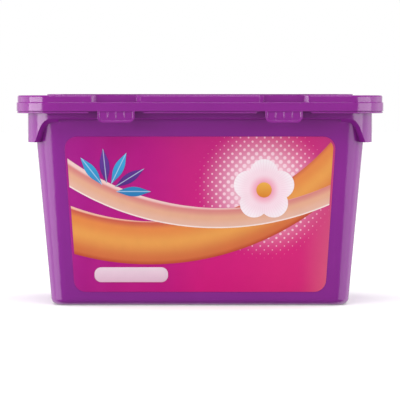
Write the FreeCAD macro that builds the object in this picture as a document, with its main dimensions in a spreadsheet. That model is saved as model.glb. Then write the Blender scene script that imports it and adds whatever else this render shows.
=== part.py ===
import FreeCAD, Part

# Laundry pod tub: a drafted tub with a hanging apron round its mouth, a hinged lid with
# two finger tabs, a printed front label and twenty pods. Millimetres and degrees, +Z up.
# The origin is the middle of the foot, the front faces -Y and the lid hinges at +Y.

import os
import re

import Sketcher
from FreeCAD import Vector
from math import atan2, cos, pi, sin, tan

doc = FreeCAD.newDocument("LaundryPodTub")

# Driving dimensions, one cell each
SIZES = {
    # tub: outside sizes at the foot and at the mouth, joined by straight drafted walls
    "foot_wide": 179.0,
    "foot_deep": 89.0,
    "foot_corner": 10.0,
    "foot_round": 4.0,
    "mouth_wide": 200.6,
    "mouth_deep": 110.6,
    "mouth_corner": 16.0,
    "mouth_high": 124.3,
    "wall": 1.3,
    "floor_thick": 1.6,
    "mouth_round": 0.4,
    # apron: a thin skirt that hangs from a web round the mouth, cut high at the front
    "apron_reach": 2.9,
    "apron_wall": 1.5,
    "apron_high": 18.6,
    "web_below_mouth": 7.6,
    "web_thick": 1.5,
    "front_band": 4.1,
    "cut_side": 0.65,
    "cut_lean": 31.9,
    "cut_round": 10.0,
    "cut_draft": 30.0,
    "cut_depth": 15.0,
    "cut_frame": 1.5,
    # lid: a stepped cap with a raised crown
    "rest_gap": 0.3,
    "lid_wall": 1.5,
    "lid_overhang": 6.8,
    "lid_round": 1.0,
    "band_round": 0.4,
    "band_step": 0.6,
    "upper_band": 4.2,
    "lower_band": 5.3,
    "lip_high": 1.2,
    "groove_high": 0.35,
    "lip_round": 0.4,
    "crown_rise": 0.7,
    "crown_inset": 17.7,
    "stiffener_inset": 5.0,
    "stiffener_high": 2.0,
    "stiffener_wall": 1.2,
    # finger tabs and the notches over them
    "tab_at": 49.5,
    "tab_wide": 22.0,
    "tab_drop": 6.7,
    "tab_thick": 2.2,
    "tab_round": 3.5,
    "tab_border": 1.0,
    "tab_sink": 0.4,
    "tab_lean": 45.0,
    "tab_rib_wide": 0.8,
    "tab_rib_proud": 0.2,
    "tab_rib_lean": 60.0,
    "tab_rib_high": 3.9,
    "tab_rib_pitch": 4.9,
    "lip_gap": 5.2,
    "catch_wide": 12.0,
    "catch_high": 1.4,
    "catch_clear": 0.4,
    "catch_drop": 0.6,
    "notch_wide": 28.9,
    "notch_deep": 2.6,
    "notch_splay": 45.0,
    # hinges: clips on the lid hold pins between ears of the tub
    "hinge_at": 60.0,
    "hinge_drop": 2.2,
    "pin_radius": 1.5,
    "pin_clear": 0.07,
    "clip_clear": 0.4,
    "clip_long": 14.0,
    "clip_mouth": 2.2,
    "clip_end_gap": 0.4,
    "ear_thick": 2.5,
    "ear_radius": 2.4,
    "ear_bluntness": 0.96,
    "lid_open": 110.0,
    "stop_gap": 0.35,
    "stop_high": 7.0,
    # label on the front wall
    "label_low": 8.3,
    "label_high": 93.7,
    "label_foot": 150.3,
    "label_side": 11.6,
    "label_corner": 7.3,
    "film": 0.15,
    # print on the label: two swept ribbons, a blossom, leaves and a blank plaque
    "ink": 0.05,
    "print_margin": 1.3,
    "broad_across": -30.0,
    "broad_up": 190.0,
    "broad_radius": 165.0,
    "broad_ribbon": 26.0,
    "slim_across": 10.0,
    "slim_up": 215.0,
    "slim_radius": 168.0,
    "slim_ribbon": 12.0,
    "ribbon_shift": 3.0,
    "blossom_from_side": 37.0,
    "blossom_from_top": 32.0,
    "petal_radius": 8.5,
    "petal_reach": 10.0,
    "heart_radius": 4.6,
    "leaf_from_side": 20.0,
    "leaf_from_top": 33.0,
    "leaf_start": 5.0,
    "leaf_long": 21.0,
    "leaf_wide": 7.6,
    "leaf_round": 14.0,
    "leaf_spacing": 32.0,
    "plaque_from_side": 12.0,
    "plaque_from_foot": 6.0,
    "plaque_wide": 44.0,
    "plaque_high": 9.0,
    "plaque_round": 4.0,
    # pods
    "pod_wide": 39.0,
    "pod_deep": 38.0,
    "pod_corner": 6.0,
    "seam_thick": 0.8,
    "seam_brim": 4.0,
    "pillow_high": 9.2,
    "pillow_round": 5.5,
    "cell_radius": 7.9,
    "cell_gap": 0.8,
    "cell_bluntness": 0.96,
    "pod_gap": 0.3,
    "pod_pitch_across": 42.4,
    "pod_pitch_back": 41.4,
}

# Sizes that follow from them, each a formula in the names above
FOLLOWING = {
    "draft": "(mouth_deep - foot_deep) / 2 / mouth_high",
    "side_draft": "(mouth_wide - foot_wide) / 2 / mouth_high",
    "apron_wide": "mouth_wide + 2 * apron_reach",
    "apron_deep": "mouth_deep + 2 * apron_reach",
    "apron_corner": "mouth_corner + apron_reach",
    "apron_top": "mouth_high - web_below_mouth",
    "apron_low": "apron_top - apron_high",
    "band_low": "apron_top - front_band",
    "lid_wide": "apron_wide + 2 * lid_overhang",
    "lid_deep": "apron_deep + 2 * lid_overhang",
    "lid_corner": "apron_corner + lid_overhang",
    "lid_under": "mouth_high + rest_gap",
    "lid_top": "lid_under + lid_wall",
    "band_top": "lid_top - upper_band",
    "lip_top": "band_top - lower_band",
    "lip_low": "lip_top - lip_high",
    "tab_low": "lip_top - tab_drop",
    "hinge_back": "apron_deep / 2 + lid_overhang / 2",
    "hinge_level": "lip_low - hinge_drop",
    "clip_radius": "lid_overhang / 2 - clip_clear",
    "clip_start": "hinge_at - clip_long / 2",
    "ear_start": "clip_start - clip_end_gap - ear_thick",
    "ear_span": "clip_long + 2 * clip_end_gap + 2 * ear_thick",
    "stop_reach": "lid_overhang / 2 + stop_gap",
    "blossom_across": "label_foot / 2 - blossom_from_side",
    "blossom_up": "label_low + label_high - blossom_from_top",
    "pod_high": "pillow_high + seam_thick + cell_radius",
    "cell_long": "pod_deep - 2 * seam_brim",
    "cell_across": "cell_radius + cell_gap / 2",
}


def make_sheet():
    """The spreadsheet that holds one driving dimension in each row."""
    table = doc.addObject("Spreadsheet::Sheet", "Sizes")
    for row, (name, number) in enumerate(SIZES.items(), start=1):
        table.set(f"A{row}", name)
        table.set(f"B{row}", str(number))
        table.setAlias(f"B{row}", name)
    doc.recompute()
    return table


sheet = make_sheet()


def formula(text):
    """Text in the names above, as an expression that reads the spreadsheet."""
    words = "|".join(FOLLOWING)
    while re.search(rf"\b({words})\b", text):
        text = re.sub(rf"\b({words})\b", lambda found: f"({FOLLOWING[found.group(1)]})", text)
    names = "|".join(SIZES)
    return re.sub(rf"\b({names})\b", r"Sizes.\1", str(text))


def value(text):
    """What a formula comes to now, as a plain number."""
    return float(sheet.evalExpression(formula(str(text))))


def bind(thing, prop, text):
    """Tie one property of an object to a formula."""
    thing.setExpression(prop, formula(str(text)))


def origin_plane(body, role):
    return next(item for item in body.Origin.OriginFeatures if item.Role == role)


def add_sketch(body, name, plane, offset):
    """An empty sketch on an origin plane, moved along the plane's normal by a formula."""
    sketch = body.newObject("Sketcher::SketchObject", name)
    sketch.AttachmentSupport = (origin_plane(body, plane), [""])
    sketch.MapMode = "FlatFace"
    bind(sketch, "AttachmentOffset.Base.z", offset)
    return sketch


def fix_number(sketch, constraint, text):
    """Add a dimension and tie it to a formula."""
    index = sketch.addConstraint(constraint)
    bind(sketch, f"Constraints[{index}]", text)


def pin_point(sketch, item, point, across, up):
    """Hold a point of a sketch at two formulas, measured from the sketch's origin."""
    fix_number(sketch, Sketcher.Constraint("DistanceX", -1, 1, item, point, value(across)), across)
    fix_number(sketch, Sketcher.Constraint("DistanceY", -1, 1, item, point, value(up)), up)


def outline(sketch, corners):
    """A closed convex outline, anticlockwise, from (across, up, rounding) formulas.

    A rounding of None leaves the corner sharp; else an arc touches both sides there.
    """
    spots = [Vector(value(across), value(up), 0) for across, up, rounding in corners]
    count = len(corners)
    ends = []
    for index, (across, up, rounding) in enumerate(corners):
        back = (spots[index - 1] - spots[index]).normalize()
        ahead = (spots[(index + 1) % count] - spots[index]).normalize()
        half = back.getAngle(ahead) / 2
        reach = value(rounding) / tan(half) if rounding else 0.0
        ends.append((spots[index] + back * reach, spots[index] + ahead * reach, half))
    sides = []
    for index in range(count):
        start = ends[index][1]
        stop = ends[(index + 1) % count][0]
        sides.append(sketch.addGeometry(Part.LineSegment(start, stop), False))
    for index, (across, up, rounding) in enumerate(corners):
        before, after = sides[index - 1], sides[index]
        if not rounding:
            sketch.addConstraint(Sketcher.Constraint("Coincident", before, 2, after, 1))
            pin_point(sketch, after, 1, across, up)
            continue
        add_corner(sketch, before, after, spots[index], ends[index], (across, up, rounding))


def add_corner(sketch, before, after, spot, end, corner):
    """The rounding arc between two sides, and the sharp corner that both sides point at."""
    across, up, rounding = corner
    first, last, half = end
    radius = value(rounding)
    middle = spot + ((first + last) / 2 - spot).normalize() * (radius / sin(half))
    start = atan2(first.y - middle.y, first.x - middle.x)
    stop = atan2(last.y - middle.y, last.x - middle.x)
    if stop < start:
        stop += 2 * pi
    circle = Part.Circle(middle, Vector(0, 0, 1), radius)
    arc = sketch.addGeometry(Part.ArcOfCircle(circle, start, stop), False)
    tip = sketch.addGeometry(Part.Point(spot), True)
    sketch.addConstraint(Sketcher.Constraint("Tangent", before, 2, arc, 1))
    sketch.addConstraint(Sketcher.Constraint("Tangent", arc, 2, after, 1))
    sketch.addConstraint(Sketcher.Constraint("PointOnObject", tip, 1, before))
    sketch.addConstraint(Sketcher.Constraint("PointOnObject", tip, 1, after))
    pin_point(sketch, tip, 1, across, up)
    fix_number(sketch, Sketcher.Constraint("Radius", arc, radius), rounding)


def circle_in(sketch, across, up, radius):
    """A circle whose middle and radius are formulas."""
    middle = Vector(value(across), value(up), 0)
    item = sketch.addGeometry(Part.Circle(middle, Vector(0, 0, 1), value(radius)), False)
    pin_point(sketch, item, 3, across, up)
    fix_number(sketch, Sketcher.Constraint("Radius", item, value(radius)), radius)


def oblong(sketch, wide, deep, rounding):
    """A rounded rectangle about the sketch's origin."""
    outline(sketch, [
        (f"-({wide}) / 2", f"-({deep}) / 2", rounding),
        (f"({wide}) / 2", f"-({deep}) / 2", rounding),
        (f"({wide}) / 2", f"({deep}) / 2", rounding),
        (f"-({wide}) / 2", f"({deep}) / 2", rounding),
    ])


def block(sketch, left, right, low, high):
    """A plain rectangle between four formulas."""
    outline(sketch, [(left, low, None), (right, low, None), (right, high, None), (left, high, None)])


def feature(body, kind, name, sketch, length, backwards=False):
    """A Pad or Pocket of one sketch, which has to change the volume of its body."""
    base = body.Tip
    before = base.Shape.Volume if base else 0.0
    item = body.newObject(f"PartDesign::{kind}", name)
    item.Profile = sketch
    item.Reversed = backwards
    bind(item, "Length", length)
    doc.recompute()
    grown = item.Shape.Volume - before
    if grown * (1 if kind == "Pad" else -1) <= 0:
        raise RuntimeError(f"{name} changes nothing")
    return item


def loft(body, kind, name, foot, mouth):
    """A straight-sided loft between two level sketches."""
    item = body.newObject(f"PartDesign::{kind}", name)
    item.Profile = foot
    item.Sections = [mouth]
    item.Ruled = True
    doc.recompute()
    return item


def fillet(body, name, radius, chosen):
    """Round the edges of the body's last shape that a test picks."""
    base = body.Tip
    edges = [f"Edge{number}" for number, edge in enumerate(base.Shape.Edges, start=1) if chosen(edge)]
    item = body.newObject("PartDesign::Fillet", name)
    item.Base = (base, edges)
    bind(item, "Radius", radius)
    doc.recompute()
    return item


def lies_at(edge, level, slack=0.01):
    """Whether an edge lies wholly at one height."""
    return abs(edge.BoundBox.ZMin - level) < slack and abs(edge.BoundBox.ZMax - level) < slack


def outermost(edge, plan):
    """Whether an edge lies on the rim of a rounded rectangle of formulas, not inside it."""
    half_wide, half_deep, corner = (value(size) for size in plan)
    half_wide, half_deep = half_wide / 2, half_deep / 2
    spot = edge.valueAt((edge.FirstParameter + edge.LastParameter) / 2)
    over_side = abs(spot.x) - (half_wide - corner)
    over_front = abs(spot.y) - (half_deep - corner)
    if over_side > 0 and over_front > 0:
        return abs((over_side ** 2 + over_front ** 2) ** 0.5 - corner) < 0.05
    return abs(over_side - corner) < 0.05 or abs(over_front - corner) < 0.05


def mirror(body, name, features):
    """Repeat features on the other side of the middle plane."""
    item = body.newObject("PartDesign::Mirrored", name)
    item.Originals = features
    item.MirrorPlane = (origin_plane(body, "YZ_Plane"), [""])
    body.Tip = item
    doc.recompute()
    return item


def add_body(name):
    body = doc.addObject("PartDesign::Body", name)
    body.Label = name
    return body


def make_tub():
    """Tub, apron and hinge ears with their pins, moulded in one."""
    tub = add_body("tub")
    add_apron(tub)
    add_ears(tub)
    add_walls(tub)
    return tub


def add_apron(tub):
    """A ring closed by its web on top, whose front is cut up to a narrow band."""
    plan = add_sketch(tub, "ApronPlan", "XY_Plane", "apron_low")
    oblong(plan, "apron_wide", "apron_deep", "apron_corner")
    feature(tub, "Pad", "Apron", plan, "apron_high")
    inner = add_sketch(tub, "ApronInnerPlan", "XY_Plane", "apron_low")
    oblong(inner, "apron_wide - 2 * apron_wall", "apron_deep - 2 * apron_wall",
           "apron_corner - apron_wall")
    feature(tub, "Pocket", "ApronInside", inner, "apron_high - web_thick", backwards=True)

    # the skirt's cut ends turn in to the wall: a block with a wall left round the cut
    foot_half = "(apron_wide / 2 - cut_side)"
    lean = "tan(cut_lean * 1 deg)"
    low_half = f"({foot_half} + cut_round * {lean})"
    top_half = f"({foot_half} - (band_low - apron_low) * {lean})"
    frame_half = f"({top_half} + cut_frame / cos(cut_lean * 1 deg) - cut_frame * {lean})"
    frame_foot = f"({frame_half} + (band_low + cut_frame - apron_low) * {lean})"
    frame = add_sketch(tub, "CutFrameShape", "XZ_Plane", "apron_deep / 2")
    outline(frame, [
        (f"-{frame_foot}", "apron_low", None),
        (frame_foot, "apron_low", None),
        (frame_half, "band_low + cut_frame", "cut_round + cut_frame"),
        (f"-{frame_half}", "band_low + cut_frame", "cut_round + cut_frame"),
    ])
    feature(tub, "Pad", "CutFrame", frame, "cut_depth", backwards=True)
    outside = add_sketch(tub, "OutsidePlan", "XY_Plane", "apron_low")
    block(outside, "-apron_wide", "apron_wide", "-apron_deep", "apron_deep")
    oblong(outside, "apron_wide", "apron_deep", "apron_corner")
    feature(tub, "Pocket", "CutFrameTrim", outside, "apron_high", backwards=True)
    cut = add_sketch(tub, "FrontCutShape", "XZ_Plane", "apron_deep / 2")
    outline(cut, [
        (f"-{low_half}", "apron_low - cut_round", None),
        (low_half, "apron_low - cut_round", None),
        (top_half, "band_low", "cut_round"),
        (f"-{top_half}", "band_low", "cut_round"),
    ])
    front_cut = feature(tub, "Pocket", "FrontCut", cut, "cut_depth")
    bind(front_cut, "TaperAngle", "-cut_draft")
    gap = add_sketch(tub, "BandGapPlan", "XY_Plane", "apron_low")
    gap_half = f"({top_half} - cut_round)"
    block(gap, f"-{gap_half}", gap_half, "apron_wall - apron_deep / 2",
          "cut_depth - apron_deep / 2")
    feature(tub, "Pocket", "BandGap", gap, "apron_high - web_thick", backwards=True)


def add_walls(tub):
    """The drafted walls and floor, hollowed to an even thickness."""
    foot = add_sketch(tub, "FootPlan", "XY_Plane", "0")
    oblong(foot, "foot_wide", "foot_deep", "foot_corner")
    mouth = add_sketch(tub, "MouthPlan", "XY_Plane", "mouth_high")
    oblong(mouth, "mouth_wide", "mouth_deep", "mouth_corner")
    loft(tub, "AdditiveLoft", "Walls", foot, mouth)
    fillet(tub, "FootRound", "foot_round", lambda edge: lies_at(edge, 0))

    floor = add_sketch(tub, "FloorPlan", "XY_Plane", "floor_thick")
    oblong(floor, "foot_wide + 2 * (side_draft * floor_thick - wall)",
           "foot_deep + 2 * (draft * floor_thick - wall)", "foot_corner - wall")
    opening = add_sketch(tub, "OpeningPlan", "XY_Plane", "mouth_high")
    oblong(opening, "mouth_wide - 2 * wall", "mouth_deep - 2 * wall", "mouth_corner - wall")
    loft(tub, "SubtractiveLoft", "Inside", floor, opening)
    floor_level = value("floor_thick")
    fillet(tub, "FloorRound", "foot_round - wall", lambda edge: lies_at(edge, floor_level))
    mouth_level = value("mouth_high")
    fillet(tub, "MouthRound", "mouth_round", lambda edge: lies_at(edge, mouth_level))


def add_ears(tub):
    """Two ears and a pin for each hinge, and the ledge that stops the open lid."""
    root = "(apron_deep / 2 - apron_wall / 2)"
    nose = "(hinge_back + ear_radius)"
    low, high = "hinge_level - ear_radius", "hinge_level + ear_radius"
    rounding = "ear_radius * ear_bluntness"
    side = add_sketch(tub, "EarShape", "YZ_Plane", "ear_start")
    outline(side, [(root, low, None), (nose, low, rounding), (nose, high, rounding),
                   (root, high, None)])
    bar = feature(tub, "Pad", "EarBar", side, "ear_span")
    gap = add_sketch(tub, "EarGapShape", "YZ_Plane", "ear_start + ear_thick")
    block(gap, "apron_deep / 2", f"{nose} + ear_radius", f"{low} - 1", f"{high} + 1")
    between = feature(tub, "Pocket", "EarGap", gap, "ear_span - 2 * ear_thick", backwards=True)
    rod = add_sketch(tub, "PinShape", "YZ_Plane", "ear_start + ear_thick / 2")
    circle_in(rod, "hinge_back", "hinge_level", "pin_radius")
    pin = feature(tub, "Pad", "Pin", rod, "ear_span - ear_thick")

    ledge = add_sketch(tub, "StopShape", "YZ_Plane", "clip_start")
    fall = "tan((lid_open - 90) * 1 deg)"
    top = f"(hinge_level - stop_reach / cos((lid_open - 90) * 1 deg))"
    tip = "(hinge_back + lid_overhang / 2 - clip_clear)"
    outline(ledge, [
        (root, f"{top} - stop_high", None),
        (tip, f"{top} - ({tip} - hinge_back) * {fall} - stop_high / 6", None),
        (tip, f"{top} - ({tip} - hinge_back) * {fall}", None),
        (root, f"{top} - ({root} - hinge_back) * {fall}", None),
    ])
    stop = feature(tub, "Pad", "OpenStop", ledge, "clip_long")
    mirror(tub, "EarsOtherSide", [bar, between, pin, stop])


def make_lid():
    """The lid with its finger tabs and hinge clips, moulded in one."""
    lid = add_body("lid")
    add_cap(lid)
    notch = add_notch(lid)
    tab = add_tab(lid)
    mirror(lid, "FrontOtherSide", notch + tab)
    clip = add_clip(lid)
    mirror(lid, "BackOtherSide", clip)
    return lid


def add_cap(lid):
    """Bands one above the other, the crown on top, and the hollow underneath."""
    full = ("lid_wide", "lid_deep", "lid_corner")
    inside = ("lid_wide - 2 * band_step", "lid_deep - 2 * band_step", "lid_corner - band_step")
    bead = ("lid_wide - band_step", "lid_deep - band_step", "lid_corner - band_step / 2")
    crown = ("lid_wide - 2 * crown_inset", "lid_deep - 2 * crown_inset",
             "lid_corner - crown_inset / 2")
    slices = [
        ("LowerBand", full, "lip_top", "lower_band", "band_round", ("lip_top", "band_top")),
        ("UpperBand", inside, "band_top", "upper_band", "lid_round", ("lid_top",)),
        ("Crown", crown, "lid_top", "crown_rise", "crown_rise / 4", ("lid_top + crown_rise",)),
        ("Groove", inside, "lip_top - groove_high", "groove_high", None, ()),
        ("Lip", bead, "lip_low", "lip_high - groove_high", "lip_round", ("lip_low",)),
    ]
    for name, plan, level, height, rounding, rounded in slices:
        sketch = add_sketch(lid, f"{name}Plan", "XY_Plane", level)
        oblong(sketch, *plan)
        feature(lid, "Pad", name, sketch, height)
        if rounded:
            levels = [value(place) for place in rounded]
            fillet(lid, f"{name}Round", rounding,
                   lambda edge: any(lies_at(edge, place) for place in levels)
                   and outermost(edge, plan))

    hollow = add_sketch(lid, "HollowPlan", "XY_Plane", "lip_low")
    oblong(hollow, "lid_wide - 2 * lid_wall", "lid_deep - 2 * lid_wall", "lid_corner - lid_wall")
    feature(lid, "Pocket", "Hollow", hollow, "lid_under - lip_low", backwards=True)
    rib_out = "(mouth_wide - 2 * wall - 2 * stiffener_inset)"
    rib_back = "(mouth_deep - 2 * wall - 2 * stiffener_inset)"
    rib_corner = "(mouth_corner - wall - stiffener_inset)"
    rib = add_sketch(lid, "StiffenerPlan", "XY_Plane", "lid_under - stiffener_high")
    oblong(rib, rib_out, rib_back, rib_corner)
    oblong(rib, f"{rib_out} - 2 * stiffener_wall", f"{rib_back} - 2 * stiffener_wall",
           f"{rib_corner} - stiffener_wall")
    feature(lid, "Pad", "Stiffener", rib, "stiffener_high + lid_wall / 2")


def add_notch(lid):
    """A notch in the upper band over a tab, splayed to the front, with a wall behind it."""
    half = "(notch_wide / 2)"
    slope = "tan(notch_splay * 1 deg)"
    back = add_sketch(lid, "NotchWallShape", "XZ_Plane", "lid_deep / 2 - band_step - 0.2")
    block(back, f"tab_at - {half} - lid_wall", f"tab_at + {half} + lid_wall",
          "band_top - lid_wall", "lid_top - lid_wall / 2")
    wall = feature(lid, "Pad", "NotchWall", back, "notch_deep + lid_wall", backwards=True)
    plan = add_sketch(lid, "NotchPlan", "XY_Plane", "band_top")
    outline(plan, [
        (f"tab_at - {half} - band_step * {slope}", "-lid_deep / 2", None),
        (f"tab_at + {half} + band_step * {slope}", "-lid_deep / 2", None),
        (f"tab_at + {half} - notch_deep * {slope}", "band_step + notch_deep - lid_deep / 2", None),
        (f"tab_at - {half} + notch_deep * {slope}", "band_step + notch_deep - lid_deep / 2", None),
    ])
    notch = feature(lid, "Pocket", "Notch", plan, "upper_band + crown_rise", backwards=True)
    return [wall, notch]


def add_tab(lid):
    """A finger tab that hangs in a gap of the lip, with three ribs and a catch behind."""
    half = "(tab_wide / 2)"
    gap = add_sketch(lid, "LipGapShape", "XZ_Plane", "lid_deep / 2")
    block(gap, f"tab_at - {half} - lip_gap", f"tab_at + {half} + lip_gap",
          "lip_low - lid_wall", "lip_top")
    opening = feature(lid, "Pocket", "LipGap", gap, "2 * lid_wall")
    plate = add_sketch(lid, "TabShape", "XZ_Plane", "lid_deep / 2")
    outline(plate, [
        (f"tab_at - {half}", "tab_low", "tab_round"),
        (f"tab_at + {half}", "tab_low", "tab_round"),
        (f"tab_at + {half}", "lip_top + lid_wall", None),
        (f"tab_at - {half}", "lip_top + lid_wall", None),
    ])
    tab = feature(lid, "Pad", "Tab", plate, "tab_thick", backwards=True)
    face = add_sketch(lid, "TabFaceShape", "XZ_Plane", "lid_deep / 2")
    outline(face, [
        (f"tab_at - {half} + tab_border", "tab_low + tab_border", "tab_round - tab_border"),
        (f"tab_at + {half} - tab_border", "tab_low + tab_border", "tab_round - tab_border"),
        (f"tab_at + {half} - tab_border", "lip_top", None),
        (f"tab_at - {half} + tab_border", "lip_top", None),
    ])
    sunk = feature(lid, "Pocket", "TabFace", face, "tab_sink")
    bind(sunk, "TaperAngle", "-tab_lean")
    ribs = add_sketch(lid, "TabRibShapes", "XZ_Plane", "lid_deep / 2 - tab_sink")
    for step in (-1, 0, 1):
        middle = f"(tab_at + {step} * tab_rib_pitch)"
        block(ribs, f"{middle} - tab_rib_wide / 2", f"{middle} + tab_rib_wide / 2",
              "lip_top - tab_rib_high", "lip_top + 0.2")
    raised = feature(lid, "Pad", "TabRibs", ribs, "tab_rib_proud")
    bind(raised, "TaperAngle", "-tab_rib_lean")
    hook = add_sketch(lid, "CatchShape", "XZ_Plane", "lid_deep / 2 - tab_thick + 0.2")
    block(hook, "tab_at - catch_wide / 2", "tab_at + catch_wide / 2",
          "tab_low + catch_drop", "tab_low + catch_drop + catch_high")
    catch = feature(lid, "Pad", "Catch", hook, "lid_overhang - tab_thick + 0.2 - catch_clear",
                    backwards=True)
    return [opening, tab, sunk, raised, catch]


def add_clip(lid):
    """A clip round the hinge pin, open underneath, on an arm from the back wall."""
    ring = add_sketch(lid, "ClipShape", "YZ_Plane", "clip_start")
    circle_in(ring, "hinge_back", "hinge_level", "clip_radius")
    circle_in(ring, "hinge_back", "hinge_level", "pin_radius + pin_clear")
    barrel = feature(lid, "Pad", "Clip", ring, "clip_long")
    arm = add_sketch(lid, "ClipArmShape", "YZ_Plane", "clip_start")
    block(arm, "hinge_back + (pin_radius + clip_radius) / 2", "lid_deep / 2 - band_step",
          "hinge_level", "lip_low + lip_high / 2")
    strut = feature(lid, "Pad", "ClipArm", arm, "clip_long")
    slot = add_sketch(lid, "ClipMouthShape", "YZ_Plane", "clip_start")
    block(slot, "hinge_back - clip_mouth / 2", "hinge_back + clip_mouth / 2",
          "hinge_level - 2 * clip_radius", "hinge_level")
    mouth = feature(lid, "Pocket", "ClipMouth", slot, "clip_long", backwards=True)
    return [barrel, strut, mouth]


def lean_on_front(thing, clearance):
    """Stand an object on the front wall, leaning out with the wall's draft."""
    thing.Placement = FreeCAD.Placement(Vector(0, 0, 0), FreeCAD.Rotation(Vector(1, 0, 0), 1))
    bind(thing, "Placement.Rotation.Angle", "atan(draft)")
    bind(thing, "Placement.Base.y", f"-foot_deep / 2 - ({clearance}) * cos(atan(draft))")
    bind(thing, "Placement.Base.z", f"-({clearance}) * sin(atan(draft))")


def label_corners(margin):
    """The label's outline, wider at the top, with a margin inside its edge."""
    foot = f"(label_foot / 2 - ({margin}))"
    head = f"(label_foot / 2 + label_side / 2 - ({margin}))"
    low = f"(label_low + ({margin}))"
    high = f"(label_low + label_high - ({margin}))"
    rounding = f"(label_corner - ({margin}))"
    return [(f"-{foot}", low, rounding), (foot, low, rounding),
            (head, high, rounding), (f"-{head}", high, rounding)]


def make_label():
    """The printed film stuck on the front wall."""
    label = add_body("front_label")
    shape = add_sketch(label, "LabelShape", "XZ_Plane", "0")
    outline(shape, label_corners("0"))
    feature(label, "Pad", "Film", shape, "film")
    lean_on_front(label, "0")
    return label


def make_print(name, layer, draw):
    """One colour of print: thin ink on the film, or on the layer of ink below it."""
    print_field = add_body(name)
    draw(print_field)
    lean_on_front(print_field, f"film + {layer} * ink")
    return print_field


def draw_ribbon(field, kind):
    """A tapering ribbon between two circles, trimmed to the label's outline."""
    sweep = add_sketch(field, "Sweep", "XZ_Plane", "0")
    circle_in(sweep, f"{kind}_across", f"{kind}_up", f"{kind}_radius")
    circle_in(sweep, f"{kind}_across + ribbon_shift", f"{kind}_up",
              f"{kind}_radius - {kind}_ribbon")
    feature(field, "Pad", "Ribbon", sweep, "ink")
    outside = add_sketch(field, "Outside", "XZ_Plane", "0")
    reach = f"2 * {kind}_radius"
    block(outside, f"-{reach}", reach, f"{kind}_up - {reach}", f"{kind}_up + {reach}")
    outline(outside, label_corners("print_margin"))
    feature(field, "Pocket", "Trim", outside, "ink", backwards=True)


def draw_petals(field):
    """Five round petals about an open middle."""
    petal = add_sketch(field, "PetalShape", "XZ_Plane", "0")
    bind(petal, "AttachmentOffset.Base.x", "blossom_across")
    bind(petal, "AttachmentOffset.Base.y", "blossom_up")
    circle_in(petal, "0", "petal_reach", "petal_radius")
    first = feature(field, "Pad", "Petal", petal, "ink")
    ring = field.newObject("PartDesign::PolarPattern", "Petals")
    ring.Originals = [first]
    ring.Axis = (petal, ["N_Axis"])
    ring.Angle = 360
    ring.Occurrences = 5
    field.Tip = ring
    doc.recompute()
    middle = add_sketch(field, "MiddleShape", "XZ_Plane", "0")
    circle_in(middle, "blossom_across", "blossom_up", "heart_radius")
    feature(field, "Pocket", "Middle", middle, "ink", backwards=True)


def draw_heart(field):
    """The round middle of the blossom."""
    heart = add_sketch(field, "HeartShape", "XZ_Plane", "0")
    circle_in(heart, "blossom_across", "blossom_up", "heart_radius")
    feature(field, "Pad", "Heart", heart, "ink")


def draw_leaves(field, steps):
    """Pointed leaves that fan out from one stem, each turned some steps from level."""
    for step in steps:
        leaf = add_sketch(field, f"LeafShape{step}", "XZ_Plane", "0")
        bind(leaf, "AttachmentOffset.Base.x", "leaf_from_side - label_foot / 2")
        bind(leaf, "AttachmentOffset.Base.y", "label_low + label_high - leaf_from_top")
        bind(leaf, "AttachmentOffset.Rotation.Angle", f"{step} * leaf_spacing")
        middle = "leaf_start + leaf_long / 2"
        outline(leaf, [
            ("leaf_start", "0", None),
            (middle, "-leaf_wide / 2", "leaf_round"),
            ("leaf_start + leaf_long", "0", None),
            (middle, "leaf_wide / 2", "leaf_round"),
        ])
        feature(field, "Pad", f"Leaf{step}", leaf, "ink")


def draw_plaque(field):
    """A blank rounded plaque near the label's lower corner."""
    plaque = add_sketch(field, "PlaqueShape", "XZ_Plane", "0")
    left = "(plaque_from_side - label_foot / 2)"
    low = "(label_low + plaque_from_foot)"
    outline(plaque, [
        (left, low, "plaque_round"),
        (f"{left} + plaque_wide", low, "plaque_round"),
        (f"{left} + plaque_wide", f"{low} + plaque_high", "plaque_round"),
        (left, f"{low} + plaque_high", "plaque_round"),
    ])
    feature(field, "Pad", "Plaque", plaque, "ink")


def make_prints():
    """Every colour field of the label's print, the two ribbons under the rest."""
    return [
        make_print("print_ribbon_broad", 0, lambda field: draw_ribbon(field, "broad")),
        make_print("print_ribbon_slim", 1, lambda field: draw_ribbon(field, "slim")),
        make_print("print_petals", 2, draw_petals),
        make_print("print_blossom_middle", 2, draw_heart),
        make_print("print_leaves_blue", 2, lambda field: draw_leaves(field, (0, 2, 4))),
        make_print("print_leaves_violet", 2, lambda field: draw_leaves(field, (1, 3))),
        make_print("print_plaque", 2, draw_plaque),
    ]


def make_pod_form():
    """One pouch: a sealed seam round a pillow below and two long cells above."""
    form = add_body("pod_form")
    seam = add_sketch(form, "SeamPlan", "XY_Plane", "pillow_high")
    oblong(seam, "pod_wide", "pod_deep", "pod_corner")
    feature(form, "Pad", "Seam", seam, "seam_thick")
    belly = add_sketch(form, "PillowPlan", "XY_Plane", "pillow_high")
    oblong(belly, "pod_wide - 2 * seam_brim", "pod_deep - 2 * seam_brim",
           "pod_corner + pillow_round / 2")
    feature(form, "Pad", "Pillow", belly, "pillow_high", backwards=True)
    fillet(form, "PillowRound", "pillow_round", lambda edge: lies_at(edge, 0))

    cell = add_sketch(form, "CellShape", "XY_Plane", "pillow_high + seam_thick")
    bind(cell, "AttachmentOffset.Base.x", "cell_across")
    outline(cell, [
        ("0", "-cell_long / 2", None),
        ("cell_radius", "-cell_long / 2", "cell_radius * cell_bluntness"),
        ("cell_radius", "cell_long / 2", "cell_radius * cell_bluntness"),
        ("0", "cell_long / 2", None),
    ])
    doc.recompute()
    turned = form.newObject("PartDesign::Revolution", "Cell")
    turned.Profile = cell
    turned.ReferenceAxis = (cell, ["V_Axis"])
    turned.Angle = 360
    doc.recompute()
    mirror(form, "CellOtherSide", [turned])
    return form


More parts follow.
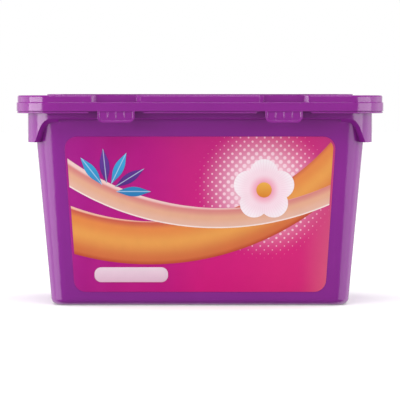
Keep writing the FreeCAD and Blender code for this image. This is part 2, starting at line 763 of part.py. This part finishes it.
# A pod's turn in degrees from square, as they fell, layer by layer
POD_TURNS = [3, -4, 2, -2, -3, 4, -1, 3, 2, 3, -4, -2, 4, -3, 3, -1, 9, -14, 12, -8]
# Which of the eight places of a layer hold a pod: two full layers and a half-empty one
POD_PLACES = list(range(8)) + list(range(8)) + [0, 2, 5, 7]


def make_pods(form):
    """Pods in layers of four by two, each layer turned a quarter from the one below."""
    pods = []
    for number, (place, turn) in enumerate(zip(POD_PLACES, POD_TURNS)):
        layer = min(number // 8, 2)
        column, row = place % 4, place // 4
        pod = add_body(f"pod_{number + 1:02d}")
        pod.BaseFeature = form
        angle = turn + 90 * (layer % 2)
        pod.Placement = FreeCAD.Placement(Vector(), FreeCAD.Rotation(Vector(0, 0, 1), angle))
        bind(pod, "Placement.Base.x", f"{column - 1.5} * pod_pitch_across")
        bind(pod, "Placement.Base.y", f"{row - 0.5} * pod_pitch_back")
        bind(pod, "Placement.Base.z", f"floor_thick + pod_gap + {layer} * (pod_high + pod_gap)")
        pods.append(pod)
    return pods


def check_and_write(pieces):
    """Write one STEP file for each piece, once the whole document is sound."""
    doc.recompute()
    for item in doc.Objects:
        if {"Invalid", "Error"} & set(item.State):
            raise RuntimeError(f"{item.Name} failed: {item.State}")
    os.makedirs("parts", exist_ok=True)
    for piece in pieces:
        shape = piece.Shape
        if shape.isNull() or not shape.isValid() or not shape.Solids:
            raise RuntimeError(f"{piece.Label} has no sound shape")
        shape.exportStep(f"parts/{piece.Label}.step")


pieces = [make_tub(), make_lid(), make_label()] + make_prints() + make_pods(make_pod_form())
check_and_write(pieces)
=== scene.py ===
from math import cos, pi, radians, sin

import bpy
import numpy as np
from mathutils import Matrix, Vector


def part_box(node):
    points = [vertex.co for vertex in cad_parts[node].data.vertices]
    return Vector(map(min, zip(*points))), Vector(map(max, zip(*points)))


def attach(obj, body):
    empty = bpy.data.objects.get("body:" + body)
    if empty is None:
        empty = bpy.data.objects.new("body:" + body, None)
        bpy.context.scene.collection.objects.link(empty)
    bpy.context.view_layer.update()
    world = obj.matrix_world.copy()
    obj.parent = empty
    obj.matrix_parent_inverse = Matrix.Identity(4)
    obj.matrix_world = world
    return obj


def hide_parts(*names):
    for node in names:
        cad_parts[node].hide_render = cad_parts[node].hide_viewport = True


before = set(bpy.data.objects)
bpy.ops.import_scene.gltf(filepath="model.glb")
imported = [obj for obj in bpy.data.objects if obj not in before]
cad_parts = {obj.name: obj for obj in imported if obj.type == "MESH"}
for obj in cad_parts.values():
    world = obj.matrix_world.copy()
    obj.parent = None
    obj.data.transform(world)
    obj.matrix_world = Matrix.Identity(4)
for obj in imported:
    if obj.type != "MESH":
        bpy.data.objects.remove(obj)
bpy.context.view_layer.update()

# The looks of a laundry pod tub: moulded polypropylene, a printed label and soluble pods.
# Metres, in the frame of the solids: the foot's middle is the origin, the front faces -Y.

MM = 0.001
SEED = 7


# ---- Objects and shader nodes ----

def new_object(name, data):
    """A new object with the given data, in the scene."""
    thing = bpy.data.objects.new(name, data)
    bpy.context.scene.collection.objects.link(thing)
    return thing


def aim_at(thing, place, target):
    """Stand a camera or a light at a place and turn it towards a point."""
    thing.location = place
    thing.rotation_euler = (Vector(target) - Vector(place)).to_track_quat("-Z", "Y").to_euler()


def set_material(node_name, material):
    """Give a node's mesh this one material."""
    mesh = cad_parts[node_name].data
    mesh.materials.clear()
    mesh.materials.append(material)


def linear(hex_colour):
    """An sRGB hex colour as linear red, green, blue and a full alpha."""
    parts = [int(hex_colour[i:i + 2], 16) / 255 for i in (1, 3, 5)]
    light = [c / 12.92 if c <= 0.04045 else ((c + 0.055) / 1.055) ** 2.4 for c in parts]
    return (*light, 1.0)


def add_node(tree, kind, settings=None, **links):
    """Add a shader node, set its properties and sockets, and link sockets to other nodes' outputs.

    A setting is a property's name or a socket's name or number; a link gives the socket that
    it feeds, with underscores for spaces, or in_0, in_1 and so on by number.
    """
    node = tree.nodes.new(kind)
    for name, setting in (settings or {}).items():
        if isinstance(name, int) or name in node.inputs:
            node.inputs[name].default_value = setting
        else:
            setattr(node, name, setting)
    for name, source in links.items():
        socket = int(name[3:]) if name.startswith("in_") else name.replace("_", " ")
        tree.links.new(source, node.inputs[socket])
    return node


def new_material(name):
    """An empty node material, its tree, and the object coordinates in metres."""
    material = bpy.data.materials.new(name)
    material.use_nodes = True
    tree = material.node_tree
    tree.nodes.clear()
    return material, tree, add_node(tree, "ShaderNodeTexCoord").outputs["Object"]


def axes(tree, place):
    """The X, Y and Z of a place or of a direction, as three values."""
    return add_node(tree, "ShaderNodeSeparateXYZ", Vector=place).outputs


def noise(tree, place, size, detail=2.0):
    """Noise of a real size in millimetres, from 0 to 1 about a middle of a half."""
    settings = {"Scale": 1 / (size * MM), "Detail": detail}
    return add_node(tree, "ShaderNodeTexNoise", settings, Vector=place).outputs[0]


def between(tree, source, low, high, start=0.0, stop=1.0):
    """Map a value linearly from start and stop to low and high, and keep it inside them."""
    settings = {"From Min": start, "From Max": stop, "To Min": low, "To Max": high}
    return add_node(tree, "ShaderNodeMapRange", settings, Value=source).outputs[0]


def share(tree, length, start, stop):
    """0 to 1 as a length goes from start to stop, both in millimetres."""
    return between(tree, length, 0.0, 1.0, start * MM, stop * MM)


def maths(tree, operation, first, second=None, number=0.0):
    """One step of arithmetic on a value and either another value or a number."""
    links = {"in_0": first} | ({"in_1": second} if second else {})
    return add_node(tree, "ShaderNodeMath", {"operation": operation, 1: number}, **links).outputs[0]


def mixed(tree, factor, first, second):
    """Mix two values, each a number or another node's output."""
    settings, links = {"data_type": "FLOAT"}, {"in_0": factor}
    for socket, value in ((2, first), (3, second)):
        if isinstance(value, float):
            settings[socket] = value
        else:
            links[f"in_{socket}"] = value
    return add_node(tree, "ShaderNodeMix", settings, **links).outputs[0]


def blend(tree, factor, first, second):
    """Mix two colours, each a hex colour or another node's output."""
    settings, links = {"data_type": "RGBA"}, {"in_0": factor}
    for socket, colour in ((6, first), (7, second)):
        if isinstance(colour, str):
            settings[socket] = linear(colour)
        else:
            links[f"in_{socket}"] = colour
    return add_node(tree, "ShaderNodeMix", settings, **links).outputs[2]


def rgb(tree, hex_colour):
    """A plain colour as a node's output."""
    node = add_node(tree, "ShaderNodeRGB")
    node.outputs[0].default_value = linear(hex_colour)
    return node.outputs[0]


def ramp(tree, factor, stops):
    """A smooth run through (place, hex colour) stops."""
    node = add_node(tree, "ShaderNodeValToRGB", in_0=factor)
    band = node.color_ramp
    band.interpolation = "EASE"
    while len(band.elements) < len(stops):
        band.elements.new(0.5)
    for element, (place, colour) in zip(band.elements, stops):
        element.position = place
        element.color = linear(colour)
    return node.outputs[0]


def tinted(tree, colour, factor):
    """A colour made lighter or darker by a factor."""
    return add_node(tree, "ShaderNodeVectorMath", {"operation": "SCALE"}, in_0=colour,
                    Scale=factor).outputs[0]


def bumped(tree, layers, edge=0.0):
    """Bumps laid over each other, each a (height, depth in millimetres) pair.

    An edge radius in millimetres first softens the sharp edges of the solid.
    """
    links = {}
    if edge:
        soft = add_node(tree, "ShaderNodeBevel", {"samples": 6, "Radius": edge * MM})
        links = {"Normal": soft.outputs[0]}
    for height, depth in layers:
        settings = {"Strength": 1.0, "Distance": depth * MM}
        links = {"Normal": add_node(tree, "ShaderNodeBump", settings, Height=height,
                                    **links).outputs[0]}
    return links["Normal"]


def finish(tree, colour, rough, normal, settings):
    """The surface itself, with its plain numbers set on its sockets."""
    skin = add_node(tree, "ShaderNodeBsdfPrincipled", settings, Base_Color=colour,
                    Roughness=rough, Normal=normal)
    add_node(tree, "ShaderNodeOutputMaterial", Surface=skin.outputs[0])


# ---- Camera: the photograph is 400 pixels wide, and the lens stands level with the lid ----

# Places in metres, ahead of the lid's front and above the foot; a pixel and the sensor in
# millimetres
PIXELS_ACROSS = 400
MM_PER_PIXEL = 0.589
CAMERA_AHEAD = 1.300
CAMERA_HIGH = 0.1262
AIM_HIGH = 0.0644
SENSOR = 36.0
CLIP_END = 20.0


def make_camera():
    """A long lens at the lid's level, tipped down a little, as in the photograph."""
    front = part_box("lid")[0].y
    data = bpy.data.cameras.new("camera")
    data.sensor_width = SENSOR
    data.lens = SENSOR * CAMERA_AHEAD / (PIXELS_ACROSS * MM_PER_PIXEL * MM)
    data.clip_end = CLIP_END
    camera = new_object("camera", data)
    aim_at(camera, (0, front - CAMERA_AHEAD, CAMERA_HIGH), (0, front, AIM_HIGH))
    bpy.context.scene.camera = camera


# ---- Light: sizes in metres, turns from straight ahead in degrees, and radiance in units of
# ---- the white background

BOX_AWAY = 1.1
BOX_TURN = 65.0
BOX_SIZE = (0.76, 0.53)
# Only this much of a box, from the floor up, shows in the gloss
BOX_SHOWN = 0.26
# Radiance of the boxes, and of the reflectors that stand below the floor's level
BOX_LEFT, BOX_RIGHT = 7.0, 4.5
LOW_LEFT, LOW_RIGHT = 3.2, 2.0
LOW_HIGH = 0.53
TOP_PLACE = (0, -0.7, 1.2)
TOP_AIM = (0, 0, 0.06)
TOP_SIZE = (1.2, 0.6)
TOP_RADIANCE = 4.1

# The room by direction: round the camera, at the tub's sides, behind it and below
ROOM_AHEAD, ROOM_BESIDE, ROOM_BEHIND, ROOM_BELOW = 0.30, 1.9, 0.7, 0.25
# What the gloss sees of the room's upper part, as a share
CEILING = 0.3
# Where one part of the room runs into the next, as a direction's share along Y
AHEAD_TO_BESIDE = (-0.20, 0.05)
BESIDE_TO_BEHIND = (0.50, 0.85)
BEHIND_TO_BACKDROP = (0.80, 0.95)
# and along Z
BELOW_TO_LEVEL = (-0.60, -0.35)
LEVEL_TO_CEILING = (0.08, 0.24)


def soft_box(name, place, aim, size, radiance, shown=True):
    """A rectangular soft box of even radiance, turned towards a point, shown in gloss or not."""
    wide, high = size
    data = bpy.data.lights.new(name, "AREA")
    data.shape = "RECTANGLE"
    data.size, data.size_y = wide, high
    data.energy = radiance * pi * wide * high
    light = new_object(name, data)
    aim_at(light, place, aim)
    light.visible_glossy = shown


def upright_box(name, turn, low, high, radiance, shown=True):
    """A soft box that stands upright beside the tub, from one level to another."""
    angle, level = radians(turn), (low + high) / 2
    place = (BOX_AWAY * sin(angle), -BOX_AWAY * cos(angle), level)
    soft_box(name, place, (0, 0, level), (BOX_SIZE[0], high - low), radiance, shown)


def make_lights():
    """A soft box at each side, one above the front, and reflectors below the floor's level."""
    high = BOX_SIZE[1]
    for side, turn, box, low in (("left", -BOX_TURN, BOX_LEFT, LOW_LEFT),
                                 ("right", BOX_TURN, BOX_RIGHT, LOW_RIGHT)):
        upright_box(f"soft_box_{side}", turn, 0, BOX_SHOWN, box)
        upright_box(f"fill_{side}", turn, BOX_SHOWN, high, box, shown=False)
        upright_box(f"reflector_{side}", turn, -LOW_HIGH, 0, low)
    soft_box("soft_box_top", TOP_PLACE, TOP_AIM, TOP_SIZE, TOP_RADIANCE)


def make_world():
    """White for the camera and straight behind the tub, with a dim room round the camera."""
    world = bpy.data.worlds.new("studio")
    bpy.context.scene.world = world
    world.use_nodes = True
    tree = world.node_tree
    tree.nodes.clear()
    path = add_node(tree, "ShaderNodeLightPath").outputs
    glossy = path["Is Glossy Ray"]
    _, back, up = axes(tree, add_node(tree, "ShaderNodeTexCoord").outputs["Generated"])
    sides = between(tree, back, ROOM_AHEAD, ROOM_BESIDE, *AHEAD_TO_BESIDE)
    behind = between(tree, back, 0.0, ROOM_BEHIND - ROOM_BESIDE, *BESIDE_TO_BEHIND)
    # what lies below is as bright as the background, but dimmer in the gloss
    below = maths(tree, "MULTIPLY", between(tree, up, 1.0, 0.0, *BELOW_TO_LEVEL),
                  mixed(tree, glossy, 1.0, ROOM_BELOW))
    room = maths(tree, "MAXIMUM", maths(tree, "ADD", sides, behind), below)
    # the room's upper part is darker in the gloss, as a studio's ceiling is
    ceiling = between(tree, up, 1.0, CEILING, *LEVEL_TO_CEILING)
    room = maths(tree, "MULTIPLY", room, mixed(tree, glossy, 1.0, ceiling))
    # gloss shows the white background too, where it faces what lies behind the tub
    backdrop = between(tree, back, 0.0, 1.0, *BEHIND_TO_BACKDROP)
    mirrored = maths(tree, "MULTIPLY", glossy, backdrop)
    seen = maths(tree, "MAXIMUM", path["Is Camera Ray"], path["Is Transmission Ray"])
    seen = maths(tree, "MAXIMUM", seen, mirrored)
    shell = add_node(tree, "ShaderNodeBackground", {"Color": (1, 1, 1, 1)},
                     Strength=mixed(tree, seen, room, 1.0))
    add_node(tree, "ShaderNodeOutputWorld", Surface=shell.outputs[0])


# ---- Floor: half sizes and corner cut, in metres, of its edge and of the hole under the foot ----

FLOOR_EDGE = (6.0, 6.0, 1.0)
FLOOR_HOLE = (0.085, 0.040, 0.007)
# Below the foot by so many millimetres
FLOOR_DROP = 0.1
# Glow that the camera sees of it by the tub and where it runs into the background, and how far
# from the tub these are, in metres
FLOOR_GLOW = (0.10, 0.26)
GLOW_RUN = (0.25, 1.0)


def octagon(wide, deep, cut):
    """The corners of a rectangle of two half sizes whose four corners are cut off."""
    return [(cut - wide, -deep), (wide - cut, -deep), (wide, cut - deep), (wide, deep - cut),
            (wide - cut, deep), (cut - wide, deep), (-wide, deep - cut), (-wide, cut - deep)]


def make_floor():
    """A pale floor, white in the light and further away, darker in the tub's soft shadow."""
    # eight strips round a hole that the foot covers, which lets light reach the foot from below
    corners = [(x, y, -FLOOR_DROP * MM) for x, y in octagon(*FLOOR_EDGE) + octagon(*FLOOR_HOLE)]
    mesh = bpy.data.meshes.new("floor")
    mesh.from_pydata(corners, [], [(n, (n + 1) % 8, (n + 1) % 8 + 8, n + 8) for n in range(8)])
    floor = new_object("floor", mesh)
    material, tree, place = new_material("pale_studio_floor")
    path = add_node(tree, "ShaderNodeLightPath").outputs
    away = add_node(tree, "ShaderNodeVectorMath", {"operation": "LENGTH"}, in_0=place)
    run_out = between(tree, away.outputs["Value"], *FLOOR_GLOW, *GLOW_RUN)
    seen = maths(tree, "MULTIPLY", path["Is Camera Ray"], run_out)
    glow = add_node(tree, "ShaderNodeEmission", {"Color": (1, 1, 1, 1)}, Strength=seen)
    # the camera sees pale paper; what the paper throws back on the tub is less
    pale = blend(tree, path["Is Camera Ray"], "#b4b4b4", "#e8e8e8")
    paper = add_node(tree, "ShaderNodeBsdfDiffuse", Color=pale)
    both = add_node(tree, "ShaderNodeAddShader", in_0=glow.outputs[0], in_1=paper.outputs[0])
    # the tub's gloss looks past the floor at the soft boxes, as it does over a table's edge,
    # and from below the floor is clear, so that the foot can be seen
    below = add_node(tree, "ShaderNodeNewGeometry").outputs["Backfacing"]
    clear = maths(tree, "MAXIMUM", path["Is Glossy Ray"], below)
    past = add_node(tree, "ShaderNodeBsdfTransparent")
    whole = add_node(tree, "ShaderNodeMixShader", in_0=clear, in_1=both.outputs[0],
                     in_2=past.outputs[0])
    add_node(tree, "ShaderNodeOutputMaterial", Surface=whole.outputs[0])
    mesh.materials.append(material)


# ---- Pods, in millimetres ----

# Each is turned a little from square, in degrees, as it fell, layer by layer
POD_TURNS = [3, -4, 2, -2, -3, 4, -1, 3, 2, 3, -4, -2, 4, -3, 3, -1, 9, -14, 12, -8]
POD_LAYER = 8
POD_WIDE, POD_DEEP = 39.0, 38.0
SEAM_LEVEL, SEAM_THICK = 9.2, 0.5
CELL_ACROSS, CELL_HALF, CELL_LONG, CELL_HIGH = 8.3, 7.9, 15.0, 8.2
PILLOW_HALF = (15.5, 15.0)
# How square a cell, the pillow and the seam's rim are in plan: 2 is round
CELL_POWER, PILLOW_POWER, RIM_POWER = 2.3, 3.4, 8
PUCKER_HIGH, PUCKERS = 0.25, 9
SLUMP_HIGH, SLUMP_ACROSS, SLUMP_ALONG = 0.35, 7, 9
# The liquid in the pillow shows its full colour from this depth on
PILLOW_DEEP = 9
POD_GRID = 84


def dome(across, along, half, long, high, power):
    """A filled cell: high x (1 - |across/half|^power - |along/long|^(power + 1.5))^0.55."""
    left = np.abs(across / half) ** power + np.abs(along / long) ** (power + 1.5)
    return high * np.clip(1 - left, 0, 1) ** 0.55


def pouch(name, box, turn, draw):
    """A sealed pouch over a rounded square of film.

    The plan is u, v from -1 to 1 squeezed so that its rim is a superellipse of power 8. The
    upper sheet rises over two long cells, the lower one hangs as one pillow, and between
    them the seam lies flat with small puckers: 0.25 mm x sin(9 a) in the rim's outer fifth.
    The cells' tops slump unevenly: 0.35 mm x sin(x / 7 mm) x sin(y / 9 mm). The phases of
    all three sines are drawn for each pod.
    """
    line = np.linspace(-1, 1, POD_GRID)
    u, v = np.meshgrid(line, line, indexing="ij")
    ring = np.maximum(np.abs(u), np.abs(v))
    norm = (np.abs(u) ** RIM_POWER + np.abs(v) ** RIM_POWER) ** (1 / RIM_POWER)
    pull = np.where(norm > 0, ring / np.maximum(norm, 1e-9), 1)
    x, y = u * pull * POD_WIDE / 2, v * pull * POD_DEEP / 2
    around = np.arctan2(y, x)
    pucker = PUCKER_HIGH * np.clip(ring * 5 - 4, 0, 1) * np.sin(PUCKERS * around + draw[0])
    slump = SLUMP_HIGH * np.sin(x / SLUMP_ACROSS + draw[1]) * np.sin(y / SLUMP_ALONG + draw[2])
    cells = [dome(x - side * CELL_ACROSS, y, CELL_HALF, CELL_LONG, CELL_HIGH, CELL_POWER)
             for side in (-1, 1)]
    filled = np.maximum(*cells)
    rise = np.clip(filled / CELL_HIGH, 0, 1)
    upper = SEAM_LEVEL + SEAM_THICK / 2 + filled + pucker * (1 - rise) + slump * rise
    hang = dome(x, y, *PILLOW_HALF, SEAM_LEVEL - SEAM_THICK / 2, PILLOW_POWER)
    lower = SEAM_LEVEL - SEAM_THICK / 2 - hang + pucker * np.clip(1 - hang, 0, 1)
    angle = radians(turn)
    middle = (box[0] + box[1]) / 2
    across = middle.x + (x * cos(angle) - y * sin(angle)) * MM
    back = middle.y + (x * sin(angle) + y * cos(angle)) * MM
    sheets = [np.stack([across, back, box[0].z + level * MM], axis=-1).reshape(-1, 3)
              for level in (upper, lower)]
    number = np.arange(POD_GRID * POD_GRID).reshape(POD_GRID, POD_GRID)
    quads = np.stack([number[:-1, :-1], number[1:, :-1], number[1:, 1:], number[:-1, 1:]],
                     axis=-1).reshape(-1, 4)
    rim = np.concatenate([number[:-1, 0], number[-1, :-1], number[:0:-1, -1], number[0, :0:-1]])
    after = np.roll(rim, -1)
    count = number.size
    wall = np.stack([rim, rim + count, after + count, after], axis=-1)
    faces = np.concatenate([quads, quads[:, ::-1] + count, wall])
    mesh = bpy.data.meshes.new(name)
    mesh.from_pydata(np.concatenate(sheets).tolist(), [], faces.tolist())
    mesh.polygons.foreach_set("use_smooth", np.ones(len(faces), dtype=bool))
    # which liquid shows: -1 in the left cell, 1 in the right one, 0 in the pillow
    sides = np.concatenate([np.sign(x).ravel(), np.zeros(count)])
    # and how deep it lies there, as a share
    depths = np.concatenate([rise.ravel(), np.clip(hang / PILLOW_DEEP, 0, 1).ravel()])
    for attribute, values in (("side", sides), ("depth", depths)):
        mesh.attributes.new(attribute, "FLOAT", "POINT").data.foreach_set("value", values)
    return new_object(name, mesh)


def pod_film():
    """Clear soluble film over two coloured liquids: deeper in colour where the cell is fuller."""
    material, tree, place = new_material("soluble_film_over_liquid")
    side = add_node(tree, "ShaderNodeAttribute", {"attribute_name": "side"}).outputs["Fac"]
    depth = add_node(tree, "ShaderNodeAttribute", {"attribute_name": "depth"}).outputs["Fac"]
    # blue in the left cell, violet in the right one, and half of each in the pillow
    right = between(tree, side, 0.0, 1.0, -0.05, 0.05)
    liquid = blend(tree, right, "#2b6fc4", "#5b2a9a")
    pale = blend(tree, right, "#8fb6e6", "#a78fd6")
    # the seam is nearly colourless, and the colour comes with the first quarter of the depth
    film = blend(tree, between(tree, depth, 0.0, 1.0, 0.0, 0.25), "#dfe2ee", pale)
    colour = blend(tree, between(tree, depth, 0.0, 1.0, 0.25, 0.8), film, liquid)
    # the film wrinkles finely, a few hundredths of a millimetre over two millimetres
    wrinkle = noise(tree, place, 2.2, 3.0)
    # the liquid is cloudy by some per cent, and damp patches shine more than dry ones
    cloud = between(tree, noise(tree, place, 12, 3.0), 0.85, 1.15)
    dull = between(tree, noise(tree, place, 6, 2.0), 0.05, 0.25)
    finish(tree, tinted(tree, colour, cloud), dull, bumped(tree, [(wrinkle, 0.05)]),
           {"IOR": 1.45, "Coat Weight": 0.6, "Coat Roughness": 0.05})
    return material


def dress_pods():
    """One pouch for each pod, with a quarter turn in every second layer."""
    film = pod_film()
    random = np.random.default_rng(SEED)
    for number, turn in enumerate(POD_TURNS):
        node = f"pod_{number + 1:02d}"
        layer = number // POD_LAYER
        pod = pouch(f"pouch_{number + 1:02d}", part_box(node), turn + 90 * (layer % 2),
                    random.uniform(0, 2 * pi, 3))
        pod.data.materials.append(film)
        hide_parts(node)
        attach(pod, "tub")


# ---- Moulded plastic ----

# Colours of the pieces in even white light, sRGB
TUB_PURPLE = "#84218a"
LID_PURPLE = "#832286"
# The moulds' edges are rounded by about this much where the solids' are sharp, millimetres
EDGE_RADIUS = 0.4


def moulded_polypropylene(name, hex_colour, rough):
    """Injection-moulded polypropylene: glossy, with sink waves, flow marks and a polished skin."""
    material, tree, place = new_material(name)
    # walls shrink unevenly as they cool, so the skin waves by hundredths of a millimetre
    wave = noise(tree, place, 28, 1.0)
    # marks of the tool's polishing, about half a millimetre wide and less than a micron deep
    polish = noise(tree, place, 0.6, 3.0)
    # colour that flowed unevenly from the gate, a few per cent over 45 mm
    flow = between(tree, noise(tree, place, 45, 3.0), 0.93, 1.07)
    colour = tinted(tree, rgb(tree, hex_colour), flow)
    # handling dulls some patches more than others
    dull = between(tree, noise(tree, place, 14, 4.0), rough - 0.05, rough + 0.05)
    normal = bumped(tree, [(wave, 0.03), (polish, 0.0004)], EDGE_RADIUS)
    finish(tree, colour, dull, normal, {"IOR": 1.49})
    return material


# ---- Printed label: places on the front as across and up, in millimetres ----

# The label's ground runs from colour to colour between these
LABEL_ACROSS = (-82, 82)
LABEL_UP = (8, 102)
# The printed blossom's middle, and its veins in a full turn
BLOSSOM = (38.2, 69.7)
VEINS = 60
# The stem that the printed leaves fan out from, the turn from leaf to leaf in degrees, and the
# levels of their feet and heads
STEM = (-55.1, 68.8)
LEAF_SPACING = 32.0
LEAVES_UP = (66, 94)


def radial(tree, place, across, up, start, stop):
    """0 to 1 as the distance from a point of the front, in millimetres, goes from start to stop."""
    flat = add_node(tree, "ShaderNodeVectorMath", {"operation": "MULTIPLY", 1: (1, 0, 1)},
                    in_0=place).outputs[0]
    away = add_node(tree, "ShaderNodeVectorMath",
                    {"operation": "DISTANCE", 1: (across * MM, 0, up * MM)}, in_0=flat)
    return share(tree, away.outputs["Value"], start, stop)


def bearing(tree, place, across, up):
    """The angle of a place about a point of the front, in radians."""
    x, _, z = axes(tree, place)
    rise = maths(tree, "SUBTRACT", z, number=up * MM)
    side = maths(tree, "SUBTRACT", x, number=across * MM)
    return maths(tree, "ARCTAN2", rise, side)


def printed(name, paint, edge=0.0):
    """Print on polypropylene film under varnish: the design's colours, slightly mottled."""
    material, tree, place = new_material(name)
    colour = paint(tree, place)
    # ink lies unevenly, by a few per cent over some millimetres
    mottle = between(tree, noise(tree, place, 7, 2.0), 0.96, 1.04)
    # the film follows the wall with waves of a few hundredths of a millimetre
    wave = noise(tree, place, 40, 0.0)
    # the varnish is satin, a little duller in some patches
    dull = between(tree, noise(tree, place, 22, 2.0), 0.26, 0.34)
    normal = bumped(tree, [(wave, 0.03)], edge)
    finish(tree, tinted(tree, colour, mottle), dull, normal,
           {"IOR": 1.47, "Specular IOR Level": 0.32})
    return material


def dots(tree, place, pitch, near, far):
    """1 inside a square grid of dots, which shrink from near to far off the blossom."""
    x, _, z = axes(tree, place)
    flat = add_node(tree, "ShaderNodeCombineXYZ", X=x, Y=z)
    turned = add_node(tree, "ShaderNodeVectorRotate", {"Angle": radians(45)},
                      Vector=flat.outputs[0]).outputs[0]
    grid = add_node(tree, "ShaderNodeTexVoronoi",
                    {"voronoi_dimensions": "2D", "Scale": 1 / (pitch * MM), "Randomness": 0.0},
                    Vector=turned).outputs["Distance"]
    # a dot's radius as a share of the pitch, with an edge that is soft by 0.04 of it
    radius = between(tree, radial(tree, place, *BLOSSOM, far, near), -0.05, 0.36)
    return between(tree, maths(tree, "SUBTRACT", radius, grid), 0.0, 1.0, -0.04, 0.04)


def label_ground(tree, place):
    """Magenta, redder to the right and the foot, a dotted glow by the blossom, faint streaks."""
    x, _, z = axes(tree, place)
    across = share(tree, x, *LABEL_ACROSS)
    upper = ramp(tree, across, [(0.0, "#9c1083"), (0.25, "#a9057b"), (0.5, "#bb1c78"),
                                (0.8, "#d2257a"), (1.0, "#b92a79")])
    lower = ramp(tree, across, [(0.0, "#a21080"), (0.3, "#b5087a"), (0.55, "#cb0d76"),
                                (0.85, "#cf1e73"), (1.0, "#d55977")])
    ground = blend(tree, share(tree, z, *LABEL_UP), lower, upper)
    glow = maths(tree, "POWER", radial(tree, place, *BLOSSOM, 40, 12), number=1.6)
    ground = blend(tree, maths(tree, "MULTIPLY", glow, number=0.8), ground, "#f3d6e0")
    spots = dots(tree, place, pitch=3.4, near=18, far=46)
    ground = blend(tree, maths(tree, "MULTIPLY", spots, number=0.6), ground, "#f6e2ea")
    # upright streaks of light on the left, each a centimetre wide, fading to the middle
    squeeze = add_node(tree, "ShaderNodeVectorMath", {"operation": "MULTIPLY", 1: (1, 0, 0.03)},
                       in_0=place).outputs[0]
    streak = between(tree, noise(tree, squeeze, 16, 1.0), 0.0, 0.16, 0.35, 0.65)
    fade = between(tree, across, 1.0, 0.0, 0.10, 0.55)
    return blend(tree, maths(tree, "MULTIPLY", streak, fade), ground, "#bd2a92")


def leaf_paint(hex_low, hex_high):
    """A leaf's colour from foot to head, with a light rib down the middle of each leaf."""
    def paint(tree, place):
        body = blend(tree, share(tree, axes(tree, place)["Z"], *LEAVES_UP), hex_low, hex_high)
        # this sine is nought along the middle of each leaf, and grows to both sides of it
        around = bearing(tree, place, *STEM)
        wave = maths(tree, "SINE", maths(tree, "MULTIPLY", around, number=180 / LEAF_SPACING))
        reach = maths(tree, "MULTIPLY", maths(tree, "ABSOLUTE", wave),
                      radial(tree, place, *STEM, 0, 30))
        rib = between(tree, reach, 0.55, 0.0, 0.025, 0.065)
        return blend(tree, rib, body, "#cfe0ee")
    return paint


def ribbon_paint(across, up, radius, wide, stops):
    """Colours across the width of a ribbon that sweeps about a point of the front."""
    def paint(tree, place):
        return ramp(tree, radial(tree, place, across, up, radius, radius - wide), stops)
    return paint


def petal_paint(tree, place):
    """White petals, warm at the blossom's middle, with faint veins that run outwards."""
    white = ramp(tree, radial(tree, place, *BLOSSOM, 4, 19),
                 [(0.0, "#e79ab2"), (0.4, "#eed3de"), (1.0, "#efe4ea")])
    around = maths(tree, "MULTIPLY", bearing(tree, place, *BLOSSOM), number=VEINS)
    vein = between(tree, maths(tree, "SINE", around), 0.0, 0.22, 0.6, 1.0)
    return blend(tree, vein, white, "#d9a9bd")


def even_paint(hex_low, hex_high, low, high):
    """One colour at the foot of a field that runs into another at its head."""
    def paint(tree, place):
        return blend(tree, share(tree, axes(tree, place)["Z"], low, high), hex_low, hex_high)
    return paint


# ---- The scene ----

bpy.context.scene.view_settings.view_transform = "Standard"
make_camera()
make_world()
make_lights()
make_floor()
dress_pods()

set_material("tub", moulded_polypropylene("polypropylene_moulded_tub", TUB_PURPLE, rough=0.18))
set_material("lid", moulded_polypropylene("polypropylene_moulded_lid", LID_PURPLE, rough=0.13))
set_material("front_label", printed("label_film_printed", label_ground, edge=0.35))
set_material("print_ribbon_broad", printed("ink_orange_sweep", ribbon_paint(
    across=-30, up=190, radius=165, wide=26,
    stops=[(0.0, "#b9492f"), (0.10, "#cc6c3c"), (0.5, "#e0984c"), (0.8, "#dc8444"),
           (0.96, "#c65a48"), (1.0, "#e8b8a0")])))
set_material("print_ribbon_slim", printed("ink_peach_sweep", ribbon_paint(
    across=10, up=215, radius=168, wide=12,
    stops=[(0.0, "#efe0dc"), (0.08, "#dcae9c"), (0.5, "#dba488"), (0.85, "#d0807c"),
           (1.0, "#e6c4c0")])))
set_material("print_petals", printed("ink_white_petals", petal_paint))
set_material("print_blossom_middle",
             printed("ink_amber", even_paint("#d07a26", "#e6ac4a", low=65, high=75)))
set_material("print_leaves_blue", printed("ink_blue", leaf_paint("#2473ac", "#3fa8da")))
set_material("print_leaves_violet", printed("ink_violet", leaf_paint("#472475", "#65389a")))
set_material("print_plaque",
             printed("ink_pale_plaque", even_paint("#d9b0c6", "#e6cedb", low=14, high=23)))
